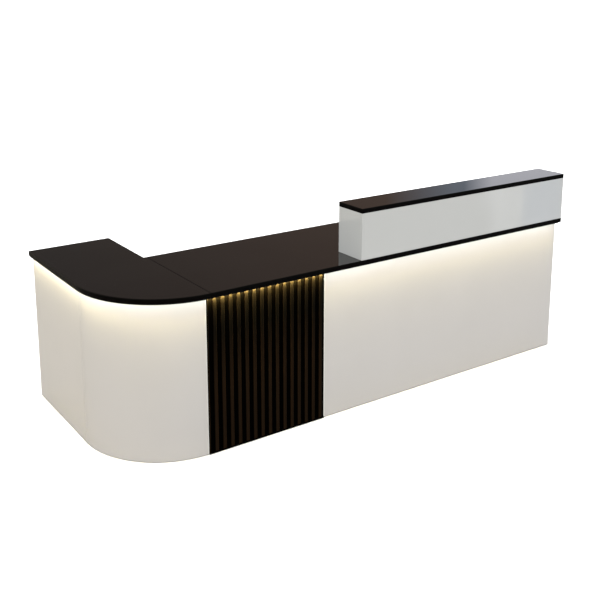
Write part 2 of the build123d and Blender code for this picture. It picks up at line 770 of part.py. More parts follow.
def till_lock():
    """A key cylinder through the till front, with a cam that turns up behind the strike."""
    x = LOCK_X
    z = LOCK_Z
    cylinder = rod((x, CAM_BACK, z), LOCK_R, FRONT_OUT + 1.0 - CAM_BACK, (0, 1, 0))
    collar = rod((x, FRONT_OUT + COLLAR_GAP, z), COLLAR_R, COLLAR_T, (0, 1, 0))
    collar = fillet(collar.edges().sort_by(Axis.Y)[-1], SOFT)
    key_x = (x - KEY_T / 2, x + KEY_T / 2)
    key_y = (FRONT_OUT - KEY_DEPTH, FRONT_OUT + 2 * COLLAR_T)
    key_slot = block(key_x, key_y, (z - KEY_HALF, z + KEY_HALF))
    cam = block((x - CAM_REACH, x), (CAM_BACK, CAM_BACK + CAM_T), (z - CAM_HALF, z + CAM_HALF))
    return cylinder + collar + cam - key_slot


def till_strike():
    """A steel angle under the worktop that the lock's cam catches behind."""
    x = (LOCK_X - STRIKE_HALF, LOCK_X + STRIKE_HALF)
    face = CAM_BACK + CAM_T + STRIKE_CLEAR
    web = block(x, (face, face + STEEL_T), (LOCK_Z + COLLAR_R, UNDER_Z))
    return web + block(x, (face - STRIKE_FLANGE, face + STEEL_T), (UNDER_Z - STEEL_T, UNDER_Z))


def keyboard_tray():
    x = (TRAY_LEFT + SLIDE_ROOM, TRAY_RIGHT - SLIDE_ROOM)
    return board(x, (TRAY_BACK - TRAY_DEPTH, TRAY_BACK), (TRAY_Z, TRAY_Z + TRAY_T))


def cupboard_door():
    x = (CUPBOARD_LEFT + REVEAL, RUN_LENGTH - REVEAL)
    z = (DRAWER_FRONTS["bottom"][0], FRONT_TOP)
    door = board(x, (FRONT_IN, FRONT_OUT), z, FRONT_SOFT)
    for low in (z[0] - 1.0, z[1] - HINGE_PIN_IN - PIVOT_CLEAR):
        door = door - rod((HINGE_X, HINGE_Y, low), HINGE_HOLE_R, HINGE_PIN_IN + 1.0)
    return door


def hinge_pins():
    low = DRAWER_FRONTS["bottom"][0]
    through = FRONT_GAP + STEEL_T
    length = HINGE_PIN_IN - PIVOT_CLEAR
    lower = rod((HINGE_X, HINGE_Y, low - through), HINGE_PIN_R, length + through)
    upper_z = FRONT_TOP - HINGE_PIN_IN
    upper = rod((HINGE_X, HINGE_Y, upper_z), HINGE_PIN_R, UNDER_Z - PIVOT_CLEAR - upper_z)
    return group([lower, upper])


def hinge_plates():
    """The door turns in two steel plates, under the cupboard's floor and under the worktop."""
    edge = CARCASS_BACK + 1.0
    right = RUN_LENGTH - REVEAL
    left = RIGHT_INNER - HINGE_PLATE_IN
    lower_z = (PLINTH - STEEL_T, PLINTH)
    upper_z = (UNDER_Z - STEEL_T, UNDER_Z)
    under_floor = (left, RIGHT_INNER - 1.0)
    lower = block(under_floor, (edge - ANGLE_LEG, edge), lower_z)
    lower = lower + block((left, right), (edge, FRONT_OUT + 1.0), lower_z)
    upper = block((left, right), (edge, TOP_BACK - HINGE_PLATE_BACK), upper_z)
    pivot = rod((HINGE_X, HINGE_Y, 0), HINGE_HOLE_R, TOP_Z)
    return group([lower - pivot, upper - pivot])


def build_parts():
    parts = {
        "front_panel": front_panel(),
        "slat_backing_board": slat_backing_board(),
        "slat_ribs": slat_ribs(),
        "corner_panel": corner_panel(),
        "corner_formers": corner_formers(),
        "wing_side_panel": wing_side_panel(),
        "wing_end_panel": wing_end_panel(),
        "wing_partition": wing_partition(),
        "right_end_panel": right_end_panel(),
        "worktop_corner_board": worktop_corner_board(),
        "worktop_corner_glass": worktop_corner_glass(),
        "worktop_main_board": worktop_main_board(),
        "worktop_main_glass": worktop_main_glass(),
        "ledge_front_panel": ledge_front_panel(),
        "ledge_uprights": ledge_uprights(),
        "ledge_top_board": ledge_top_board(),
        "ledge_top_glass": ledge_top_glass(),
        "cabinet_uprights": cabinet_uprights(),
        "cabinet_bottoms": cabinet_bottoms(),
        "top_rails": top_rails(),
        "shelves": shelves(),
        "shelf_pins": shelf_pins(),
        "kick_boards": kick_boards(),
        "levelling_legs": levelling_legs(),
        "angle_brackets": angle_brackets(),
        "led_driver": led_driver(),
        "light_switch_rocker": light_switch_rocker(),
        "led_lead": led_lead(),
        "lead_clips": lead_clips(),
        "grommet_sleeve": grommet_sleeve(),
        "grommet_cap": grommet_cap(),
        "tray_hangers": tray_hangers(),
        "outer_runners": outer_runners(),
        "keyboard_tray": keyboard_tray(),
        "tray_runners": group(tray_rails(inner_rail)),
        "till_box": till_box(),
        "till_front": till_front(),
        "till_dividers": till_dividers(),
        "till_runners": group(till_rails(inner_rail)),
        "till_lock": till_lock(),
        "till_strike": till_strike(),
        "cupboard_door": cupboard_door(),
        "cupboard_pull": pull(CUPBOARD_LEFT + DOOR_PULL_IN, FRONT_TOP - DOOR_PULL_DROP, True),
        "hinge_pins": hinge_pins(),
        "hinge_plates": hinge_plates(),
    }
    parts.update(lighting())
    for name in DRAWER_FRONTS:
        parts[name + "_drawer_box"] = pedestal_box(name)
        parts[name + "_drawer_front"] = pedestal_front(name)
        parts[name + "_drawer_pull"] = pedestal_pull(name)
        parts[name + "_drawer_runners"] = group(drawer_rails(inner_rail, name))
    return parts


def export_parts(parts):
    """Writes every node, moved so that the overall box is centred on the origin."""
    middle_x = (RUN_LENGTH - OVER_LEFT) / 2
    middle_y = (WING_LENGTH - OVER_FRONT) / 2
    os.makedirs("parts", exist_ok=True)
    for name, shape in parts.items():
        export_step(Pos(-middle_x, -middle_y, 0) * shape, "parts/" + name + ".step")


export_parts(build_parts())
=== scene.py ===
import json
import math

import bmesh
import bpy
from mathutils import Euler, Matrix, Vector

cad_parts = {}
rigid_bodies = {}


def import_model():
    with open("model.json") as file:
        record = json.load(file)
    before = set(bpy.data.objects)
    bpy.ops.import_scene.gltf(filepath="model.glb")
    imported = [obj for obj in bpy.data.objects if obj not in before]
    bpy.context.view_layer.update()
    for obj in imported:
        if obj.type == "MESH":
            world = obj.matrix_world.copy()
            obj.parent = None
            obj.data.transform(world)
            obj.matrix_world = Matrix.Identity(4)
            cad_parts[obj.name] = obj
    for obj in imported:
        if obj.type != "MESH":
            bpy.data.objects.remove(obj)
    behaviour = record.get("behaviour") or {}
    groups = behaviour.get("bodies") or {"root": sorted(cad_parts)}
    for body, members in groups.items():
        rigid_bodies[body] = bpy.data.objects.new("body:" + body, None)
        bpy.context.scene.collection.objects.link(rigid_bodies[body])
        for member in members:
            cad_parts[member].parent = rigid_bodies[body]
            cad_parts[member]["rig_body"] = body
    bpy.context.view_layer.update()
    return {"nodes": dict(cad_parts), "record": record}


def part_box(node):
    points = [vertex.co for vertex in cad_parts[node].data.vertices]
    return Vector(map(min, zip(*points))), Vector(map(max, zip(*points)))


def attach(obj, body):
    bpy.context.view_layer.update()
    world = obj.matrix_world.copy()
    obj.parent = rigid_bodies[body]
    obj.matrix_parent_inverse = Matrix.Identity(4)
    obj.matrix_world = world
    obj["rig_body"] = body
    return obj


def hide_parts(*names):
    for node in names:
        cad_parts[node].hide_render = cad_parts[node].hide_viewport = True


# Looks of the checkout counter. Metres, in the row frame: the customer side faces -Y, the
# staff side +Y, and the floor is z = 0.

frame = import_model()
SLOT_OF = {part["node"]: part["material_slot"] for part in frame["record"]["subparts"]}

# Camera
CAMERA_AT = (-2.6678, -3.7556, 2.0400)
CAMERA_PITCH = 12.2
CAMERA_YAW = 34.6
CAMERA_LENS = 55.07
SENSOR = 36.0
CAMERA_SHIFT = -0.2

# Slats and cover strips
SLAT_COUNT = 15
SLAT_PITCH = 0.040
SLAT_WIDTH = 0.021
SLAT_END_MARGIN = 0.0125
SLAT_ROUND = 0.0052
SLAT_FOOT = 0.008
FOOT_CHAMFER = 0.0008
EDGE_STRIP = 0.006
EDGE_STRIP_ROUND = 0.002
BEAD_WIDTH = 0.006
BEAD_PROUD = 0.0015
BEAD_SHORT = 0.001
END_INSET = 0.0004

# Hardware
DRAWERS = ("top", "middle", "bottom")
EASED_BOARD = 0.0006
EASED_STEEL = 0.0003
SHARP_ANGLE = 35.0
FLAT_ANGLE = 0.5
SAME_POINT = 0.000002
SCREW_RADIUS = 0.0042
SCREW_HEAD = ((1.0, 0.0), (1.0, 0.18), (0.86, 0.42), (0.62, 0.55))
SCREW_CROSS = (0.13, 0.44)
SCREW_PIT = 0.2
SCREW_STEPS = 20
SMALL_SCREW = 0.0036
FOOT_SCREW = 0.0034
ANGLE_HOLE_AT = 0.024
ANGLE_SHEET = 0.002
HANGER_SCREWS = 3
FOOT_RADIUS = 0.025
FOOT_EDGE = 0.0015
FOOT_RIM = 0.0045
FOOT_SHOULDER = ((0.023, 0.0062), (0.015, 0.0078))
STEM_RADIUS = 0.012
STEM_FROM = 0.010
SLEEVE_RADIUS = 0.0165
SLEEVE_EDGE = 0.001
SLEEVE_FLARE = 0.002
PLATE_RADIUS = 0.028
PLATE_THICK = 0.007
PLATE_SCREWS = 3
PLATE_SCREW_IN = 0.0055
PLATE_SCREW_TURN = 0.25
THREADS = 7
THREAD_PITCH = 0.004
THREAD_DEEP = 0.0013
THREAD_FROM = 0.0115
LEG_FINS = 6
FIN_THICK = 0.0018
FIN_TALL = 0.016
FIN_SUNK = 0.0005
LUG_REACH = 0.014
LUG_HALF = 0.008
LUG_THICK = 0.003
LUG_CORNER = 0.004
LUG_FROM_END = 0.022
LUG_SUNK = 0.001
RIBS = 7
RIB_STEP = 0.0065
RIB_RADIUS = 0.0014
RIB_ENDS = (0.02, 0.04)
RELIEF_RINGS = 4
RELIEF_FROM = 0.002
RELIEF_STEP = 0.004
RELIEF_GAP = 0.0001
RELIEF_WALL = 0.0015
RELIEF_TAPER = 0.0002
RELIEF_DEEP = 0.0006
RELIEF_RING = 0.002
RELIEF_NECK = (0.0024, 0.0036)
RELIEF_COLLAR = (0.0018, 0.001)
RELIEF_TIP = (0.0004, 0.019)
BUMPER_RADIUS = 0.004
BUMPER_HEIGHT = 0.0016
BUMPER_IN = 0.010
BUMPER_FROM_END = 0.020
TOUCHING = 0.001

# White lacquer below the worktop and on the ledge, and the heights between which it changes; the
# ledge's is painted darker and cooler, painted shade for the warm strip light that the lower
# panels catch
LACQUER_PANELS = ((0.554, 0.539, 0.530), (0.569, 0.553, 0.545))
LACQUER_LEDGE_PAINTED_SHADE = ((0.522, 0.533, 0.530), (0.535, 0.547, 0.545))
LEDGE_PAINTED_SHADE_FROM = (0.750, 0.760)

# Melamine sheet, shared by the boards and the back of the slatted panel
MELAMINE_DARK = (0.560, 0.552, 0.532)
MELAMINE_LIGHT = (0.590, 0.581, 0.560)

# Light. Each fan of the strip's light has a spread in degrees, watts per metre and a colour
LED_COLOUR = (0.975, 1.0, 0.895)
LED_STRENGTH = 15.6
LED_BEAMS = {
    "narrow": (40.0, 0.433, (1.0, 0.89, 0.44)),
    "wide": (80.0, 0.322, (1.0, 0.81, 0.53)),
}
LED_BEAM_WIDTH = 0.008
LED_BEAM_DROP = 0.001
LED_HALF = 0.005
LED_CORNER_BEAMS = 12
SLAT_LIGHT_COLOUR = (1.0, 0.76, 0.25)
SLAT_LIGHT_WATTS = 39.0
SLAT_LIGHT_WIDTH = 0.004
SLAT_LIGHT_DROP = 0.010
SLAT_LIGHT_OFF = 0.0035
SKY = (1.36, 1.36, 1.3328)
BACKDROP = (1.1, 1.1, 1.1)
SUN = 3.0
SUN_ANGLE = 40.0
SUN_HEIGHT = 4.0

# The floor as the camera sees it, and as it sends light back, warmer towards the left
FLOOR_HALF = 60.0
FLOOR_SEEN = ((0.86, 0.86, 0.86), (0.88, 0.88, 0.88))
FLOOR_FELT = ((0.250, 0.243, 0.238), (0.270, 0.245, 0.205))
FLOOR_WARM_FROM = (-0.9, -1.5)

# The room that glossy faces see: its colour towards the left, then each change of colour with the
# turn to the right over which it comes in, in radians from +Y, and the ceiling by its rise
ROOM_LEFT = (0.105, 0.092, 0.086)
ROOM_TURNS = (
    (0.30, 0.70, (0.185, 0.130, 0.105)),
    (0.70, 0.775, (0.34, 0.38, 0.45)),
    (0.785, 0.815, (1.10, 1.10, 1.20)),
    (1.2, 2.0, (0.16, 0.14, 0.13)),
)
CEILING = (0.9, 0.9, 0.9)
CEILING_FROM = (0.40, 0.85)

# The card that the ledge reflects: its place, where its colours change, and the colours
CARD_X = (2.66, 3.62)
CARD_Y = -2.4
CARD_TOP = 0.6
CARD_SLANT = 0.35
CARD_FADE = (2.74, 2.88)
CARD_SPLIT = (3.125, 3.135)
CARD_DIM = (0.56, 0.54, 0.52)
CARD_BRIGHT = ((0.55, 0.55, 0.56), (1.75, 1.75, 1.78))
CARD_BLUE = ((0.14, 0.26, 0.52), (0.42, 0.56, 0.86))


class Graph:
    """A node tree with short calls for the nodes that the materials use."""

    def __init__(self, tree):
        self.tree = tree
        tree.nodes.clear()

    def node(self, kind, inputs=None, **settings):
        made = self.tree.nodes.new(kind)
        for key, value in settings.items():
            setattr(made, key, value)
        for key, value in (inputs or {}).items():
            self.feed(made.inputs[key], value)
        return made

    def feed(self, socket, value):
        if isinstance(value, bpy.types.NodeSocket):
            self.tree.links.new(value, socket)
        elif socket.type == "RGBA":
            socket.default_value = (*value[:3], 1.0)
        else:
            socket.default_value = value

    def place(self, stretch=(1.0, 1.0, 1.0)):
        """Object coordinates in metres, stretched along each axis."""
        coords = self.node("ShaderNodeTexCoord").outputs["Object"]
        return self.node("ShaderNodeMapping", {"Vector": coords, "Scale": stretch}).outputs[0]

    def noise(self, scale, detail=2.0, stretch=(1.0, 1.0, 1.0), roughness=0.5):
        inputs = {
            "Vector": self.place(stretch),
            "Scale": scale,
            "Detail": detail,
            "Roughness": roughness,
        }
        return self.node("ShaderNodeTexNoise", inputs).outputs["Fac"]

    def cells(self, scale, stretch=(1.0, 1.0, 1.0)):
        inputs = {"Vector": self.place(stretch), "Scale": scale}
        return self.node("ShaderNodeTexVoronoi", inputs).outputs["Distance"]

    def remap(self, value, old, new):
        inputs = {
            "Value": value,
            "From Min": old[0],
            "From Max": old[1],
            "To Min": new[0],
            "To Max": new[1],
        }
        return self.node("ShaderNodeMapRange", inputs).outputs[0]

    def blend(self, factor, first, second):
        mixer = self.node("ShaderNodeMix", data_type="RGBA")
        self.feed(mixer.inputs[0], factor)
        self.feed(mixer.inputs[6], first)
        self.feed(mixer.inputs[7], second)
        return mixer.outputs[2]

    def maths(self, operation, first, second=0.0):
        made = self.node("ShaderNodeMath", operation=operation)
        self.feed(made.inputs[0], first)
        self.feed(made.inputs[1], second)
        return made.outputs[0]

    def bump(self, height, distance, strength=1.0, normal=None):
        inputs = {"Height": height, "Distance": distance, "Strength": strength}
        if normal is not None:
            inputs["Normal"] = normal
        return self.node("ShaderNodeBump", inputs).outputs[0]

    def finish(self, shader):
        out = self.node("ShaderNodeOutputMaterial")
        self.tree.links.new(shader, out.inputs["Surface"])


def material(name, build):
    made = bpy.data.materials.new(name)
    made.use_nodes = True
    graph = Graph(made.node_tree)
    graph.finish(build(graph))
    return made


def principled(graph, **inputs):
    names = {key.replace("_", " ").title().replace("Ior", "IOR"): v for key, v in inputs.items()}
    return graph.node("ShaderNodeBsdfPrincipled", names).outputs[0]


def tinted(graph, dark, light, scale=3.0, detail=3.0, stretch=(1.0, 1.0, 1.0)):
    """A colour that drifts between two close tints."""
    drift = graph.remap(graph.noise(scale, detail, stretch), (0.3, 0.7), (0.0, 1.0))
    return graph.blend(drift, dark, light)


# Materials


def white_lacquer(graph):
    """Glossy lacquer; the ledge is painted a little darker and cooler than the panels below the
    worktop, as painted shade for the warm strip light that those panels catch.
    """
    height = graph.node("ShaderNodeSeparateXYZ", {"Vector": graph.place()}).outputs["Z"]
    # Painted shade: from the ledge's height up, the lacquer turns darker and cooler.
    ledge = graph.remap(height, LEDGE_PAINTED_SHADE_FROM, (0.0, 1.0))
    dark = graph.blend(ledge, LACQUER_PANELS[0], LACQUER_LEDGE_PAINTED_SHADE[0])
    light = graph.blend(ledge, LACQUER_PANELS[1], LACQUER_LEDGE_PAINTED_SHADE[1])
    peel = graph.noise(260.0, 1.5)
    waves = graph.noise(5.0, 1.0)
    normal = graph.bump(peel, 0.00003)
    normal = graph.bump(waves, 0.0006, normal=normal)
    return principled(
        graph,
        base_color=tinted(graph, dark, light),
        roughness=graph.remap(graph.noise(14.0), (0.3, 0.7), (0.06, 0.10)),
        coat_weight=0.5,
        coat_roughness=0.02,
        normal=normal,
    )


def upward(graph):
    """1 on faces that look up, 0 on upright faces."""
    normal = graph.node("ShaderNodeTexCoord").outputs["Normal"]
    height = graph.node("ShaderNodeSeparateXYZ", {"Vector": normal}).outputs["Z"]
    return graph.remap(height, (0.80, 0.95), (0.0, 1.0))


def black_glass(graph):
    """Glass painted black on its back: a mirror on top, dull ground edges."""
    smears = graph.noise(6.0, 5.0, (1.0, 2.2, 1.0))
    up = upward(graph)
    polish = graph.remap(smears, (0.35, 0.75), (0.015, 0.05))
    edge = graph.remap(up, (0.0, 1.0), (0.35, 0.0))
    return principled(
        graph,
        base_color=tinted(graph, (0.0020, 0.0018, 0.0017), (0.0030, 0.0027, 0.0025)),
        roughness=graph.maths("ADD", polish, edge),
        ior=1.52,
        specular_ior_level=graph.remap(up, (0.0, 1.0), (0.04, 0.5)),
        normal=graph.bump(graph.noise(2.4, 1.0), 0.0003),
    )


def black_board(graph):
    return principled(
        graph,
        base_color=tinted(graph, (0.0009, 0.0008, 0.0008), (0.0019, 0.0017, 0.0016), 20.0),
        roughness=graph.remap(graph.noise(90.0, 3.0), (0.3, 0.7), (0.32, 0.46)),
        specular_ior_level=0.03,
        normal=graph.bump(graph.noise(700.0, 2.0), 0.00004),
    )


def facing(graph, axis):
    """How far a face looks along an axis of the object, from -1 to 1."""
    normal = graph.node("ShaderNodeTexCoord").outputs["Normal"]
    return graph.node("ShaderNodeSeparateXYZ", {"Vector": normal}).outputs[axis]


def slat_brown(graph):
    """Dark brown fronts with a fine upright grain, and black sides; the fronts are painted darker
    near the top and lighter lower down, as painted shade and painted light.
    """
    front = graph.remap(facing(graph, "Y"), (-0.98, -0.6), (1.0, 0.0))
    grain = graph.noise(1.0, 4.0, (520.0, 520.0, 9.0))
    height = graph.node("ShaderNodeSeparateXYZ", {"Vector": graph.place()}).outputs["Z"]
    # Painted shade and light: the fronts run from near black at the top to a lighter brown lower
    # down.
    low = graph.remap(height, (0.57, 0.33), (0.0, 1.0))
    upper = graph.blend(grain, (0.0015, 0.00125, 0.0010), (0.0031, 0.00255, 0.0020))
    lower = graph.blend(grain, (0.0079, 0.0044, 0.0022), (0.0151, 0.0084, 0.0042))
    brown = graph.blend(low, upper, lower)
    return principled(
        graph,
        base_color=graph.blend(front, (0.0002, 0.0001, 0.0001), brown),
        roughness=graph.remap(grain, (0.3, 0.7), (0.42, 0.58)),
        specular_ior_level=0.02,
        normal=graph.bump(grain, 0.00010),
    )


def slat_black(graph):
    """Black paint on the customer side, a pale balancing sheet on the staff side."""
    back = graph.remap(facing(graph, "Y"), (0.5, 0.9), (0.0, 1.0))
    black = tinted(graph, (0.0002, 0.0002, 0.0002), (0.0005, 0.0004, 0.0003), 8.0)
    pale = tinted(graph, MELAMINE_DARK, MELAMINE_LIGHT, 6.0)
    return principled(
        graph,
        base_color=graph.blend(back, black, pale),
        roughness=graph.remap(graph.noise(90.0, 3.0), (0.3, 0.7), (0.46, 0.6)),
        specular_ior_level=graph.remap(back, (0.0, 1.0), (0.005, 0.4)),
        normal=graph.bump(graph.noise(500.0, 2.0), 0.00005),
    )


def white_melamine(graph):
    pebbles = graph.noise(900.0, 3.0)
    return principled(
        graph,
        base_color=tinted(graph, MELAMINE_DARK, MELAMINE_LIGHT, 6.0),
        roughness=graph.remap(pebbles, (0.3, 0.7), (0.36, 0.5)),
        normal=graph.bump(pebbles, 0.00006),
    )


def drawer_grey(graph):
    linen = graph.noise(1.0, 2.0, (1400.0, 120.0, 1400.0))
    return principled(
        graph,
        base_color=graph.blend(linen, (0.30, 0.30, 0.295), (0.38, 0.38, 0.375)),
        roughness=0.5,
        normal=graph.bump(linen, 0.00005),
    )


def brushed(graph, dark, light, stretch, low, high):
    grain = graph.noise(1.0, 5.0, stretch)
    return principled(
        graph,
        base_color=graph.blend(grain, dark, light),
        metallic=1.0,
        roughness=graph.remap(grain, (0.25, 0.75), (low, high)),
        normal=graph.bump(grain, 0.00003),
    )


def black_aluminium(graph):
    grain = graph.noise(1.0, 3.0, (8.0, 8.0, 900.0))
    return principled(
        graph,
        base_color=graph.blend(grain, (0.004, 0.004, 0.004), (0.009, 0.009, 0.009)),
        roughness=graph.remap(grain, (0.3, 0.7), (0.40, 0.52)),
        specular_ior_level=0.1,
        normal=graph.bump(grain, 0.00003),
    )


def satin_steel(graph):
    return brushed(graph, (0.52, 0.51, 0.50), (0.66, 0.65, 0.64), (14.0, 700.0, 900.0), 0.22, 0.36)


def zinc_steel(graph):
    spangle = graph.cells(160.0)
    return principled(
        graph,
        base_color=graph.blend(spangle, (0.60, 0.61, 0.63), (0.42, 0.43, 0.46)),
        metallic=1.0,
        roughness=graph.remap(spangle, (0.0, 0.8), (0.26, 0.44)),
        normal=graph.bump(graph.noise(300.0, 3.0), 0.00004),
    )


def chrome(graph):
    return principled(
        graph,
        base_color=tinted(graph, (0.70, 0.70, 0.71), (0.80, 0.80, 0.81), 60.0),
        metallic=1.0,
        roughness=graph.remap(graph.noise(220.0, 3.0), (0.3, 0.7), (0.05, 0.12)),
    )


def moulded(graph, dark, light, low, high):
    grit = graph.noise(1600.0, 2.0)
    return principled(
        graph,
        base_color=tinted(graph, dark, light, 40.0),
        roughness=graph.remap(grit, (0.3, 0.7), (low, high)),
        normal=graph.bump(grit, 0.00005),
    )


def black_plastic(graph):
    return moulded(graph, (0.012, 0.012, 0.012), (0.018, 0.018, 0.018), 0.42, 0.58)


def grey_plastic(graph):
    return moulded(graph, (0.10, 0.10, 0.105), (0.13, 0.13, 0.135), 0.45, 0.6)


def white_plastic(graph):
    return moulded(graph, (0.690, 0.685, 0.665), (0.740, 0.735, 0.715), 0.35, 0.5)


def rocker_black(graph):
    return moulded(graph, (0.008, 0.008, 0.008), (0.014, 0.014, 0.014), 0.12, 0.2)


def led_strip(graph):
    return principled(
        graph,
        base_color=tinted(graph, (0.70, 0.66, 0.50), (0.80, 0.77, 0.62), 120.0),
        roughness=0.5,
        emission_color=LED_COLOUR,
        emission_strength=2.0,
    )


def led_diffuser(graph):
    """Opal plastic, lit from behind by a row of chips that shows through a little."""
    patches = graph.noise(90.0, 1.0)
    glow = graph.remap(patches, (0.3, 0.7), (LED_STRENGTH * 0.9, LED_STRENGTH * 1.1))
    return principled(
        graph,
        base_color=graph.blend(patches, (0.78, 0.76, 0.70), (0.84, 0.82, 0.76)),
        roughness=0.45,
        emission_color=LED_COLOUR,
        emission_strength=glow,
    )


FINISHES = {
    build.__name__: material(build.__name__, build)
    for build in (
        white_lacquer,
        black_glass,
        black_board,
        slat_brown,
        slat_black,
        white_melamine,
        drawer_grey,
        black_aluminium,
        satin_steel,
        zinc_steel,
        chrome,
        black_plastic,
        grey_plastic,
        white_plastic,
        rocker_black,
        led_strip,
        led_diffuser,
    )
}

for node, slot in SLOT_OF.items():
    for holder in frame["nodes"][node].material_slots:
        holder.material = FINISHES[slot]


# New pieces


def link(thing):
    bpy.context.scene.collection.objects.link(thing)
    return thing


def piece(name, bm, body, slot, replaced=()):
    """Turns a bmesh into a finished piece that rides on a body."""
    mesh = bpy.data.meshes.new(name)
    bmesh.ops.recalc_face_normals(bm, faces=bm.faces)
    bm.to_mesh(mesh)
    bm.free()
    mesh.materials.append(FINISHES[slot])
    made = link(bpy.data.objects.new(name, mesh))
    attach(made, body)
    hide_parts(*replaced)
    return made


def band(bm, first, second):
    """Quads between two rings of vertices; a ring of one vertex is the tip of a cone."""
    count = max(len(first), len(second))
    for index in range(count):
        after = (index + 1) % count
        corners = []
        for ring, order in ((first, (index, after)), (second, (after, index))):
            corners += [ring[n] for n in order] if len(ring) > 1 else [ring[0]]
        bm.faces.new(corners)


def circle(radius, steps):
    if not radius:
        return [(0.0, 0.0)]
    turns = (math.tau * index / steps for index in range(steps))
    return [(radius * math.cos(turn), radius * math.sin(turn)) for turn in turns]


def lathe(bm, profile, base, axis=(0, 0, 1), steps=32):
    """A round body from (radius, height) pairs, standing on a point along an axis."""
    turn = Vector((0, 0, 1)).rotation_difference(Vector(axis)).to_matrix()
    rings = []
    for radius, height in profile:
        spots = (turn @ Vector((x, y, height)) for x, y in circle(radius, steps))
        rings.append([bm.verts.new(Vector(base) + spot) for spot in spots])
    for first, second in zip(rings, rings[1:]):
        band(bm, first, second)
    return rings


def prism(bm, outline, low, high, axis=2, ends=0.0):
    """A closed outline carried along an axis, its ends drawn in a little when ends is given."""
    centre = Vector((sum(p[0] for p in outline), sum(p[1] for p in outline))) / len(outline)
    rings = []
    stations = [(low, 0.0), (high, 0.0)]
    if ends:
        stations = [(low, ends), (low + ends, 0.0), (high - ends, 0.0), (high, ends)]
    for along, inset in stations:
        ring = []
        for point in outline:
            away = Vector(point) - centre
            away *= max(0.0, 1.0 - inset / away.length)
            spot = list(centre + away)
            spot.insert(axis, along)
            ring.append(bm.verts.new(spot))
        rings.append(ring)
    for first, second in zip(rings, rings[1:]):
        band(bm, first, second)
    bm.faces.new(rings[0][::-1])
    bm.faces.new(rings[-1])


def islands(node):
    """The boxes of a CAD node's separate solids, as pairs of corners."""
    bm = bmesh.new()
    bm.from_mesh(frame["nodes"][node].data)
    bmesh.ops.remove_doubles(bm, verts=bm.verts, dist=SAME_POINT)
    seen = set()
    boxes = []
    for start in bm.verts:
        if start in seen:
            continue
        seen.add(start)
        queue, found = [start], []
        while queue:
            vert = queue.pop()
            found.append(vert.co.copy())
            for edge in vert.link_edges:
                other = edge.other_vert(vert)
                if other not in seen:
                    seen.add(other)
                    queue.append(other)
        low = Vector(min(spot[axis] for spot in found) for axis in range(3))
        high = Vector(max(spot[axis] for spot in found) for axis in range(3))
        boxes.append((low, high))
    bm.free()
    return sorted(boxes, key=lambda box: tuple(box[0]))


def eased(node, width):
    """Stands in for a sharp-edged CAD node with the same shape, its edges eased."""
    source = frame["nodes"][node]
    bm = bmesh.new()
    bm.from_mesh(source.data)
    bmesh.ops.remove_doubles(bm, verts=bm.verts, dist=SAME_POINT)
    flat = math.radians(FLAT_ANGLE)
    bmesh.ops.dissolve_limit(bm, angle_limit=flat, verts=bm.verts, edges=bm.edges)
    limit = math.radians(SHARP_ANGLE)
    sharp = [e for e in bm.edges if len(e.link_faces) == 2 and e.calc_face_angle() > limit]
    bmesh.ops.bevel(bm, geom=sharp, offset=width, segments=2, profile=0.5, affect="EDGES")
    return piece(f"{node}_eased", bm, source["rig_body"], SLOT_OF[node], (node,))


def screw(bm, at, axis, radius=SCREW_RADIUS):
    """A pan head with a cross recess, its underside at a point."""
    turn = Vector((0, 0, 1)).rotation_difference(Vector(axis)).to_matrix()

    def ring(points, height):
        spots = (turn @ Vector((x, y, height)) for x, y in points)
        return [bm.verts.new(Vector(at) + spot) for spot in spots]

    head = [(radius * wide, radius * high) for wide, high in SCREW_HEAD]
    rings = [ring(circle(wide, SCREW_STEPS), high) for wide, high in head]
    for first, second in zip(rings, rings[1:]):
        band(bm, first, second)
    bm.faces.new(rings[0][::-1])
    thin, far = (radius * share for share in SCREW_CROSS)
    corner = [(far, -thin), (far, thin), (thin, thin)]
    cross = []
    for quarter in range(4):
        cosine, sine = math.cos(quarter * math.pi / 2), math.sin(quarter * math.pi / 2)
        cross += [(x * cosine - y * sine, x * sine + y * cosine) for x, y in corner]
    mouth = ring(cross, radius * SCREW_HEAD[-1][1])
    pit = ring(cross, radius * SCREW_PIT)
    band(bm, mouth, pit)
    bm.faces.new(pit)
    edges = [bm.edges.get((a, b)) for r in (rings[-1], mouth) for a, b in zip(r, r[1:] + r[:1])]
    bmesh.ops.triangle_fill(bm, edges=edges)


def arc(centre, radius, start, stop, steps):
    """Points on an arc, angles in degrees."""
    points = []
    for index in range(steps + 1):
        angle = math.radians(start + (stop - start) * index / steps)
        points.append((centre[0] + radius * math.cos(angle), centre[1] + radius * math.sin(angle)))
    return points


def slat_profile(left, right, front, back, radius):
    """The section of a slat seen from above, with rounded front corners."""
    outline = [(right, back), (left, back)]
    outline += arc((left + radius, front + radius), radius, 180, 270, 8)
    outline += arc((right - radius, front + radius), radius, 270, 360, 8)
    return outline


def base_strip(low, high, foot):
    """The black strip under the slats, with a small chamfer along its front edges."""
    cut = FOOT_CHAMFER
    outline = [(high.y, low.z), (high.y, foot), (low.y + cut, foot), (low.y, foot - cut)]
    outline += [(low.y, low.z + cut), (low.y + cut, low.z)]
    bm = bmesh.new()
    prism(bm, outline, low.x, high.x, 0)
    return piece("slat_base_strip", bm, "counter", "slat_black")


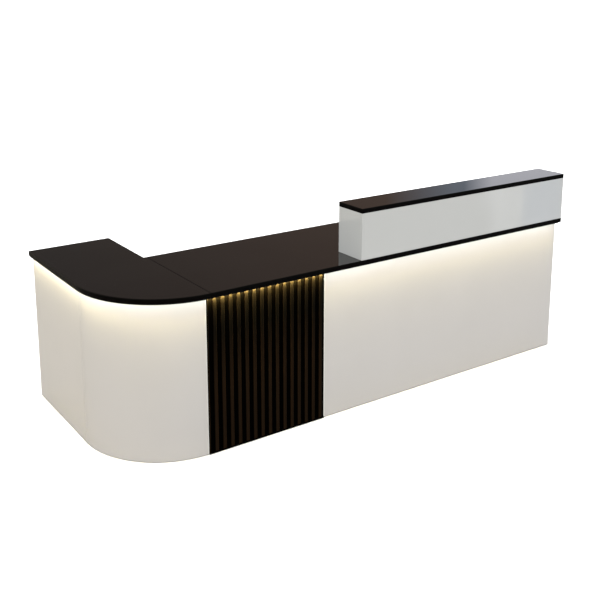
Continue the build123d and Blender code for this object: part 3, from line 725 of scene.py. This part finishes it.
def milled_slats():
    """Fifteen slats with rounded fronts, the narrow strip beside them, and their base strip."""
    low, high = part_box("slat_ribs")
    foot = low.z + SLAT_FOOT
    last = high.x - SLAT_END_MARGIN - SLAT_WIDTH / 2
    bm = bmesh.new()
    for index in range(SLAT_COUNT):
        centre = last - SLAT_PITCH * (SLAT_COUNT - 1 - index)
        section = slat_profile(
            centre - SLAT_WIDTH / 2, centre + SLAT_WIDTH / 2, low.y, high.y, SLAT_ROUND
        )
        prism(bm, section, foot, high.z)
    strip = slat_profile(low.x, low.x + EDGE_STRIP, low.y, high.y, EDGE_STRIP_ROUND)
    prism(bm, strip, foot, high.z)
    slats = piece("slat_fronts", bm, "counter", "slat_brown", ("slat_ribs",))
    return slats, base_strip(low, high, foot)


def bead(name, slot, across, front, along_x, low_z, high_z):
    """A slim half-round cover strip over an upright joint."""
    half = BEAD_WIDTH / 2
    outline = []
    for x, y in arc((0, 0), half, 180, 360, 10):
        out = y * BEAD_PROUD / half
        outline.append((across + x, front + out) if along_x else (front + out, across + x))
    bm = bmesh.new()
    prism(bm, outline, low_z, high_z, 2, END_INSET)
    return piece(name, bm, "counter", slot)


def beads():
    """Cover strips where the curved panel meets the wing, and beside the slats; the two beside the
    slats are a paler white, a painted highlight.
    """
    curve_low, curve_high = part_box("corner_panel")
    front_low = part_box("front_panel")[0]
    span = (curve_low.z + BEAD_SHORT, curve_high.z - BEAD_SHORT)
    inset = BEAD_WIDTH / 2
    bead("joint_strip_wing", "white_lacquer", curve_high.y, curve_low.x, False, *span)
    # Painted highlight: the strips beside the slats are a paler white than the panels, so they
    # read as bright edge lines; their rounded shape also catches real light.
    bead("joint_strip_corner", "white_plastic", curve_high.x - inset, curve_low.y, True, *span)
    bead("joint_strip_front", "white_plastic", front_low.x + inset, front_low.y, True, *span)


def eased_nodes():
    boards = ["worktop_corner_board", "worktop_main_board", "ledge_top_board", "till_box"]
    boards += [f"{name}_drawer_box" for name in DRAWERS]
    boards += ["till_dividers"]
    for node in boards:
        eased(node, EASED_BOARD)
    steels = ["tray_hangers", "angle_brackets", "hinge_plates", "till_strike", "outer_runners"]
    steels += [f"{name}_drawer_runners" for name in DRAWERS]
    steels += ["till_runners", "tray_runners"]
    for node in steels:
        eased(node, EASED_STEEL)


def leg_profile(height):
    """Half the section of a screwed foot: pad, threaded stem, sleeve and plate."""
    root = STEM_RADIUS - THREAD_DEEP
    profile = [(0, 0), (FOOT_RADIUS - FOOT_EDGE, 0), (FOOT_RADIUS, FOOT_EDGE)]
    profile += [(FOOT_RADIUS, FOOT_RIM), *FOOT_SHOULDER, (STEM_RADIUS, STEM_FROM)]
    for turn in range(THREADS):
        start = THREAD_FROM + turn * THREAD_PITCH
        profile += [(STEM_RADIUS, start), (root, start + THREAD_PITCH / 2)]
    sleeve = THREAD_FROM + THREADS * THREAD_PITCH
    plate = height - PLATE_THICK
    profile += [(root, sleeve), (SLEEVE_RADIUS - SLEEVE_EDGE, sleeve)]
    profile += [(SLEEVE_RADIUS, sleeve + SLEEVE_EDGE), (SLEEVE_RADIUS, plate - SLEEVE_FLARE)]
    profile += [(SLEEVE_RADIUS + SLEEVE_FLARE, plate), (PLATE_RADIUS - SLEEVE_EDGE, plate)]
    profile += [(PLATE_RADIUS, plate + SLEEVE_EDGE), (PLATE_RADIUS, height), (0, height)]
    return profile


def fin(bm, base, turn, plate):
    """A thin gusset between a leg's sleeve and its plate."""
    inner, outer = SLEEVE_RADIUS - SLEEVE_EDGE, PLATE_RADIUS - SLEEVE_FLARE
    side = Vector((-math.sin(turn), math.cos(turn), 0)) * FIN_THICK / 2
    out = Vector((math.cos(turn), math.sin(turn), 0))
    faces = []
    for offset in (-side, side):
        corners = ((inner, plate - FIN_TALL), (outer, plate), (inner, plate))
        spots = [Vector(base) + out * away + Vector((0, 0, up)) + offset for away, up in corners]
        faces.append([bm.verts.new(spot) for spot in spots])
    band(bm, faces[0], faces[1])
    bm.faces.new(faces[0][::-1])
    bm.faces.new(faces[1])


def levelling_feet():
    """Screwed feet with a thread, a sleeve with gussets and three fixing screws."""
    legs, screws = bmesh.new(), bmesh.new()
    for low, high in islands("levelling_legs"):
        base = ((low.x + high.x) / 2, (low.y + high.y) / 2, low.z)
        height = high.z - low.z
        lathe(legs, leg_profile(height), base)
        plate = height - PLATE_THICK
        for index in range(LEG_FINS):
            fin(legs, base, math.tau * index / LEG_FINS, plate + FIN_SUNK)
        for index in range(PLATE_SCREWS):
            turn = math.tau * (index + PLATE_SCREW_TURN) / PLATE_SCREWS
            away = Vector((math.cos(turn), math.sin(turn), 0)) * (PLATE_RADIUS - PLATE_SCREW_IN)
            screw(screws, Vector(base) + away + Vector((0, 0, plate)), (0, 0, -1), FOOT_SCREW)
    piece("levelling_feet", legs, "counter", "black_plastic", ("levelling_legs",))
    piece("foot_screws", screws, "counter", "zinc_steel")


def bracket_screws():
    """Screws in the angles and the tray's hangers."""
    bm = bmesh.new()
    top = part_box("worktop_main_board")[0].z
    right_faces = [box[1].x for box in islands("cabinet_uprights")]
    for low, high in islands("angle_brackets"):
        on_left = any(abs(face - low.x) < TOUCHING for face in right_faces)
        corner, side = (low.x, 1) if on_left else (high.x, -1)
        face = corner + side * ANGLE_SHEET
        along = corner + side * ANGLE_HOLE_AT
        middle_y, middle_z = (low.y + high.y) / 2, (low.z + high.z) / 2
        if abs(high.z - top) < TOUCHING:
            screw(bm, (along, middle_y, top - ANGLE_SHEET), (0, 0, -1))
            screw(bm, (face, middle_y, top - ANGLE_HOLE_AT), (side, 0, 0))
        else:
            screw(bm, (along, low.y + ANGLE_SHEET, middle_z), (0, 1, 0))
            screw(bm, (face, low.y + ANGLE_HOLE_AT, middle_z), (side, 0, 0))
    for low, high in islands("tray_hangers"):
        middle = (low.x + high.x) / 2
        step = (high.y - low.y) / HANGER_SCREWS
        for index in range(HANGER_SCREWS):
            at = (middle, low.y + step * (index + 0.5), top - ANGLE_SHEET)
            screw(bm, at, (0, 0, -1))
    piece("bracket_screws", bm, "counter", "zinc_steel")


def driver_lugs(low, high):
    """Mounting lugs, their screws and cooling ribs on the power unit."""
    lugs, screws = bmesh.new(), bmesh.new()
    bottom = high.z - LUG_THICK
    for side, edge in ((-1, low.x), (1, high.x)):
        root, tip = edge - side * LUG_SUNK, edge + side * LUG_REACH
        shoulder = tip - side * LUG_CORNER
        for y in (low.y + LUG_FROM_END, high.y - LUG_FROM_END):
            far, near = y + LUG_HALF, y - LUG_HALF
            outline = [(root, far), (root, near), (shoulder, near), (tip, near + LUG_CORNER)]
            outline += [(tip, far - LUG_CORNER), (shoulder, far)]
            prism(lugs, outline, bottom, high.z, 2, END_INSET)
            screw(screws, (edge + side * LUG_REACH / 2, y, bottom), (0, 0, -1), SMALL_SCREW)
    middle = (low.x + high.x) / 2
    for index in range(RIBS):
        x = middle + (index - (RIBS - 1) / 2) * RIB_STEP
        outline = arc((x, low.z), RIB_RADIUS, 180, 360, 6)
        prism(lugs, outline, low.y + RIB_ENDS[0], high.y - RIB_ENDS[1], 1, END_INSET)
    piece("driver_lugs_and_ribs", lugs, "counter", SLOT_OF["led_driver"])
    piece("driver_screws", screws, "counter", "zinc_steel")


def strain_relief(front):
    """A ribbed sleeve where the lead leaves the power unit."""
    low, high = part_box("led_lead")
    radius = (high.x - low.x) / 2
    bore = radius + RELIEF_GAP
    collar, half = radius + RELIEF_COLLAR[0], RELIEF_COLLAR[1]
    profile = [(bore, -half), (collar, -half), (collar, half)]
    for ring in range(RELIEF_RINGS):
        start = RELIEF_FROM + ring * RELIEF_STEP
        wide = radius + RELIEF_WALL - ring * RELIEF_TAPER
        profile += [(wide, start), (wide, start + RELIEF_RING)]
        profile += [(wide - RELIEF_DEEP, start + along) for along in RELIEF_NECK]
    profile += [(radius + RELIEF_TIP[0], RELIEF_TIP[1]), (bore, RELIEF_TIP[1])]
    bm = bmesh.new()
    rings = lathe(bm, profile, (low.x + radius, front, (low.z + high.z) / 2), (0, -1, 0), 24)
    band(bm, rings[-1], rings[0])
    piece("lead_strain_relief", bm, "counter", "black_plastic")


def driver_fittings():
    low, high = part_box("led_driver")
    driver_lugs(low, high)
    strain_relief(low.y)


def bumpers():
    """Soft domes inside the door and the drawer fronts, where they meet the carcass."""
    curve = [(BUMPER_RADIUS * r, BUMPER_HEIGHT * h) for r, h in arc((0, 0), 1.0, 0, 90, 5)]
    profile = [(0, 0)] + curve[:-1] + [(0, BUMPER_HEIGHT)]
    for node in ["cupboard_door"] + [f"{name}_drawer_front" for name in DRAWERS]:
        low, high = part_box(node)
        places = [low.x + BUMPER_IN]
        if node != "cupboard_door":
            places.append(high.x - BUMPER_IN)
        bm = bmesh.new()
        for x in places:
            for z in (low.z + BUMPER_FROM_END, high.z - BUMPER_FROM_END):
                lathe(bm, profile, (x, low.y, z), (0, -1, 0), 20)
        piece(f"{node}_bumpers", bm, frame["nodes"][node]["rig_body"], "white_plastic")


slat_pieces = milled_slats()
beads()
eased_nodes()
levelling_feet()
bracket_screws()
driver_fittings()
bumpers()


# Stage, light and camera


def stage_plane(name, corners, paint):
    mesh = bpy.data.meshes.new(name)
    mesh.from_pydata(corners, [], [(0, 1, 2, 3)])
    mesh.materials.append(material(name, paint))
    plane = link(bpy.data.objects.new(name, mesh))
    return plane


def floor():
    """A wide pale floor. It sends less light back than the camera sees."""

    def paint(graph):
        seen = tinted(graph, *FLOOR_SEEN, 0.5)
        left = graph.node("ShaderNodeSeparateXYZ", {"Vector": graph.place()}).outputs["X"]
        warm = graph.remap(left, FLOOR_WARM_FROM, (0.0, 1.0))
        felt = graph.blend(warm, *FLOOR_FELT)
        direct = graph.node("ShaderNodeLightPath").outputs["Is Camera Ray"]
        return principled(
            graph,
            base_color=graph.blend(direct, felt, seen),
            roughness=0.9,
            specular_ior_level=0.1,
        )

    half = FLOOR_HALF
    corners = [(-half, -half, 0), (half, -half, 0), (half, half, 0), (-half, half, 0)]
    stage_plane("floor", corners, paint)


def reflected_card():
    """A low board at the front right, half bright and half blue, that only gloss shows."""

    def paint(graph):
        split = graph.node("ShaderNodeSeparateXYZ", {"Vector": graph.place()}).outputs
        streaks = graph.noise(1.0, 3.0, (14.0, 1.0, 3.0))
        bright = graph.blend(streaks, *CARD_BRIGHT)
        slant = graph.maths("MULTIPLY", split["Z"], CARD_SLANT)
        edge = graph.maths("ADD", split["X"], slant)
        fade = graph.remap(edge, CARD_FADE, (0.0, 1.0))
        bright = graph.blend(fade, CARD_DIM, bright)
        blue = graph.blend(streaks, *CARD_BLUE)
        past = graph.remap(split["X"], CARD_SPLIT, (0.0, 1.0))
        inputs = {"Color": graph.blend(past, bright, blue), "Strength": 1.0}
        return graph.node("ShaderNodeEmission", inputs).outputs[0]

    left, right = CARD_X
    y = CARD_Y
    corners = [(left, y, 0), (right, y, 0), (right, y, CARD_TOP), (left, y, CARD_TOP)]
    card = stage_plane("card", corners, paint)
    card.visible_camera = False
    card.visible_diffuse = False
    card.visible_shadow = False


def world():
    """White past the floor; the glossy faces see a dim warm room with a bright right side."""
    made = bpy.data.worlds.new("studio")
    made.use_nodes = True
    graph = Graph(made.node_tree)
    kind = graph.node("ShaderNodeLightPath")
    direction = graph.node("ShaderNodeTexCoord").outputs["Generated"]
    split = graph.node("ShaderNodeSeparateXYZ", {"Vector": direction})
    across, along, height = (split.outputs[axis] for axis in "XYZ")
    turn = graph.maths("ARCTAN2", across, along)
    room = ROOM_LEFT
    for start, stop, tint in ROOM_TURNS:
        room = graph.blend(graph.remap(turn, (start, stop), (0.0, 1.0)), room, tint)
    rise = graph.remap(height, CEILING_FROM, (0.0, 1.0))
    room = graph.blend(rise, room, CEILING)
    colour = graph.blend(kind.outputs["Is Glossy Ray"], SKY, room)
    colour = graph.blend(kind.outputs["Is Camera Ray"], colour, BACKDROP)
    background = graph.node("ShaderNodeBackground", {"Color": colour, "Strength": 1.0})
    out = graph.node("ShaderNodeOutputWorld")
    graph.tree.links.new(background.outputs[0], out.inputs[0])
    bpy.context.scene.world = made


def lamp(name, kind, at, power, colour=(1.0, 1.0, 1.0)):
    light = bpy.data.lights.new(name, kind)
    light.energy = power
    light.color = colour
    holder = link(bpy.data.objects.new(name, light))
    holder.location = at
    return holder


def overhead():
    """A broad soft light from straight above."""
    sun = lamp("overhead", "SUN", (0, 0, SUN_HEIGHT), SUN)
    sun.data.angle = math.radians(SUN_ANGLE)
    sun.visible_glossy = False


def beam(name, at, length, turn=0.0):
    """A stretch of the strip's light, which leaves its channel in a narrow and a wide fan."""
    for kind, (spread, watts, colour) in LED_BEAMS.items():
        glow = lamp(f"{name}_{kind}", "AREA", at, watts * length, colour)
        glow.data.shape = "RECTANGLE"
        glow.data.size = length
        glow.data.size_y = LED_BEAM_WIDTH
        glow.data.spread = math.radians(spread)
        glow.rotation_euler = (0, 0, turn)
        glow.visible_camera = False
        glow.visible_glossy = False


def strip_light():
    """The light under the overhang: along the front, round the corner and along the wing."""
    low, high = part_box("led_diffusers")
    panel_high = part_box("corner_panel")[1]
    height = low.z - LED_BEAM_DROP
    front, side = low.y + LED_HALF, low.x + LED_HALF
    start, stop = panel_high.x, high.x
    beam("beam_front", ((start + stop) / 2, front, height), stop - start)
    near, far = panel_high.y, high.y
    beam("beam_wing", (side, (near + far) / 2, height), far - near, math.pi / 2)
    radius = start - side
    step = math.pi / 2 / LED_CORNER_BEAMS
    for index in range(LED_CORNER_BEAMS):
        angle = math.pi + step * (index + 0.5)
        at = (start + radius * math.cos(angle), front + radius * (1 + math.sin(angle)), height)
        beam(f"beam_corner_{index + 1}", at, radius * step, angle + math.pi / 2)


def slat_light():
    """More of the strip's light for the dark slats alone, which show it as a golden edge."""
    low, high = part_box("slat_ribs")
    at = ((low.x + high.x) / 2, low.y - SLAT_LIGHT_OFF, high.z - SLAT_LIGHT_DROP)
    glow = lamp("slat_light", "AREA", at, SLAT_LIGHT_WATTS, SLAT_LIGHT_COLOUR)
    glow.data.shape = "RECTANGLE"
    glow.data.size = high.x - low.x
    glow.data.size_y = SLAT_LIGHT_WIDTH
    glow.visible_camera = False
    glow.visible_glossy = False
    receivers = bpy.data.collections.new("slats")
    for lit in (*slat_pieces, frame["nodes"]["slat_backing_board"]):
        receivers.objects.link(lit)
    glow.light_linking.receiver_collection = receivers


def camera():
    lens = bpy.data.cameras.new("camera")
    lens.sensor_width = SENSOR
    lens.lens = CAMERA_LENS
    lens.shift_y = CAMERA_SHIFT
    lens.clip_start, lens.clip_end = 0.1, 200.0
    holder = link(bpy.data.objects.new("camera", lens))
    holder.location = CAMERA_AT
    holder.rotation_euler = Euler((math.radians(90 - CAMERA_PITCH), 0, math.radians(-CAMERA_YAW)))
    bpy.context.scene.camera = holder


floor()
reflected_card()
world()
overhead()
strip_light()
slat_light()
camera()
bpy.context.scene.view_settings.view_transform = "Standard"
